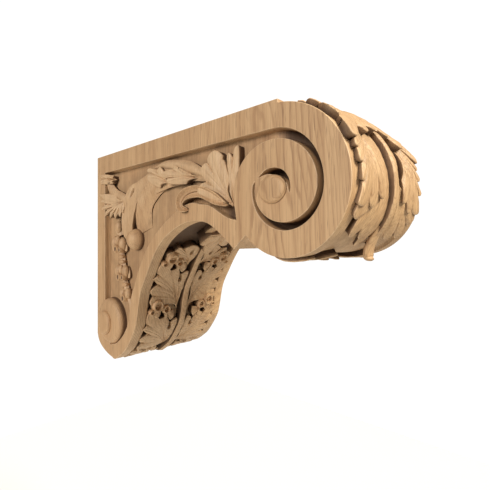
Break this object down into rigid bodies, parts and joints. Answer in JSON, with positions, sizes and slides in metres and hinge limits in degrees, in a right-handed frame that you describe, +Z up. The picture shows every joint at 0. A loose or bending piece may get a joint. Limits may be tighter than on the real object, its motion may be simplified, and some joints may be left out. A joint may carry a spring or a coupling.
{
  "type": "carved wooden corbel bracket",
  "caption": "Oak corbel bracket: scroll nose, S-shaped front and sunk side panels, all carved with acanthus leaves; fixes by its flat back, carries a shelf on its flat top",
  "frame": {"origin": "middle of the flat back face that bears on the wall, on mount back", "axes": "+Y into the wall, -Y out along the projection to the scroll nose, +Z up, X across the width and normal to the plane of symmetry"},
  "size_m": [0.14, 0.3549, 0.2531],
  "materials": {
    "oak": "planed and carved light oak, bare, vertical grain, dark in the cuts"
  },
  "bodies": {
    "root": {"corbel": "oak"}
  },
  "joints": []
}
